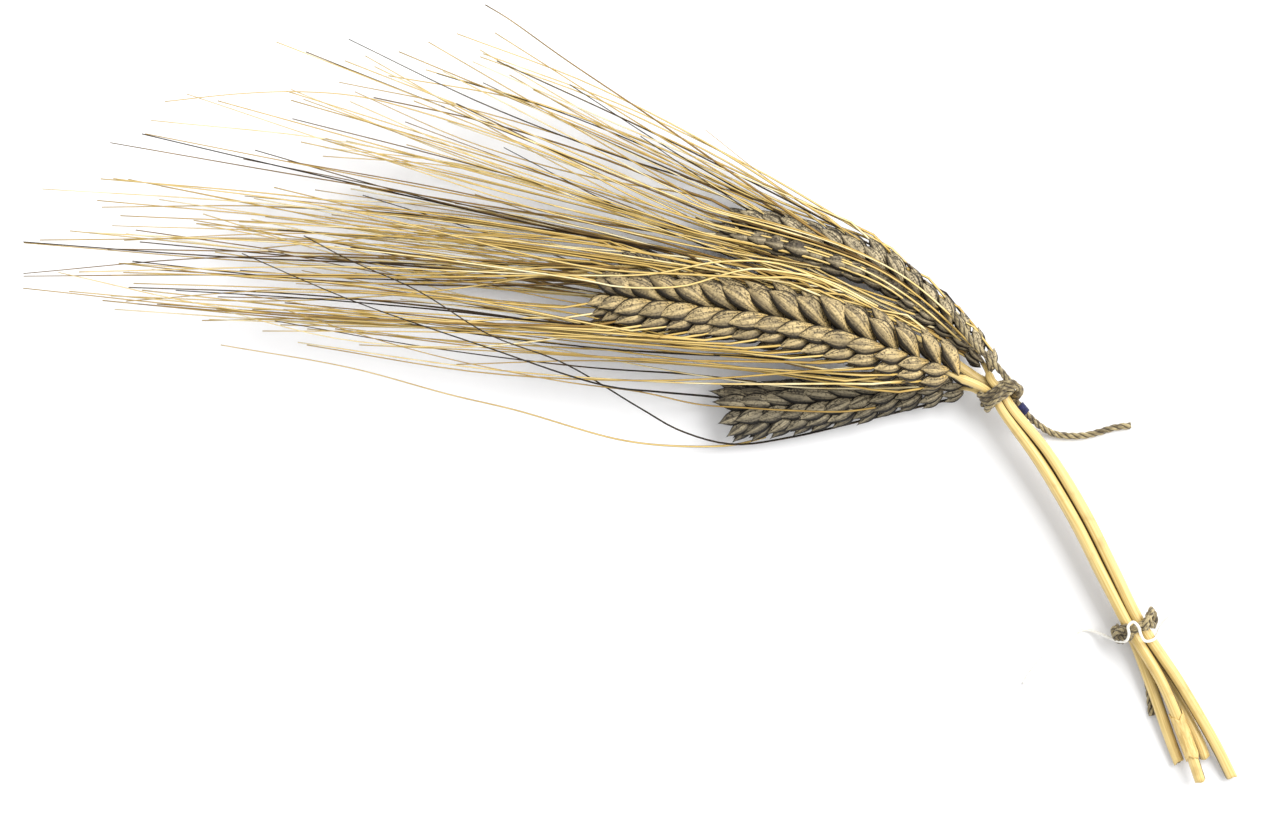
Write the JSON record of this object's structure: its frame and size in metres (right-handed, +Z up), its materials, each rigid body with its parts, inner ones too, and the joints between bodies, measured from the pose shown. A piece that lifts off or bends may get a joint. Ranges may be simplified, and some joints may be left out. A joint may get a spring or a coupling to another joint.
{
  "type": "bunch of wheat ears",
  "caption": "Small bunch of bearded wheat ears on cut straws, bound with two twine ties, lying on a flat surface with the long awns fanned out.",
  "frame": {"origin": "on the surface that the bunch lies on, under the middle of the whole bunch's box", "axes": "+X along the bunch's length towards the cut straw ends, +Y across it in plan, +Z up from the surface"},
  "size_m": [0.2484, 0.1595, 0.0203],
  "materials": {
    "straw": "dry bright yellow straw with a satin skin and a fine grain along it",
    "golden_chaff": "dry golden tan chaff with grey-brown speckles, ribbed along its length",
    "dark_chaff": "dry dark grey-brown chaff, ribbed along its length",
    "pale_chaff": "dry light tan chaff, matt",
    "brown_chaff": "dry brown chaff, matt",
    "leaf": "thin dry papery leaf sheath with lengthwise veins",
    "twine": "coarse two-ply jute twine, slightly fuzzy",
    "blue_thread": "dark blue cotton thread, wound close",
    "white_thread": "thin white cotton thread"
  },
  "bodies": {
    "root": {"back_ear_lower_row": "brown_chaff", "back_ear_upper_row": "brown_chaff", "back_straw": "straw", "blue_whipping": "blue_thread", "dark_ear_lower_row": "dark_chaff", "dark_ear_upper_row": "dark_chaff", "dark_straw": "straw", "front_spikelet_01": "golden_chaff", "front_spikelet_02": "golden_chaff", "front_spikelet_03": "golden_chaff", "front_spikelet_04": "golden_chaff", "front_spikelet_05": "golden_chaff", "front_spikelet_06": "golden_chaff", "front_spikelet_07": "golden_chaff", "front_spikelet_08": "golden_chaff", "front_spikelet_09": "golden_chaff", "front_spikelet_10": "golden_chaff", "front_spikelet_11": "golden_chaff", "front_spikelet_12": "golden_chaff", "front_spikelet_13": "golden_chaff", "front_spikelet_14": "golden_chaff", "front_spikelet_15": "golden_chaff", "front_spikelet_16": "golden_chaff", "front_spikelet_17": "golden_chaff", "front_spikelet_18": "golden_chaff", "front_spikelet_19": "golden_chaff", "front_spikelet_20": "golden_chaff", "front_spikelet_21": "golden_chaff", "front_spikelet_22": "golden_chaff", "front_spikelet_23": "golden_chaff", "front_spikelet_24": "golden_chaff", "front_spikelet_25": "golden_chaff", "front_spikelet_26": "golden_chaff", "front_spikelet_27": "golden_chaff", "front_spikelet_28": "golden_chaff", "front_spikelet_29": "golden_chaff", "front_spikelet_30": "golden_chaff", "front_straw": "straw", "label_thread": "white_thread", "leaf_sheath": "leaf", "lower_tie": "twine", "right_ear_lower_row": "pale_chaff", "right_ear_upper_row": "pale_chaff", "right_straw": "straw", "twine_tail": "twine", "upper_tie": "twine"}
  },
  "joints": []
}
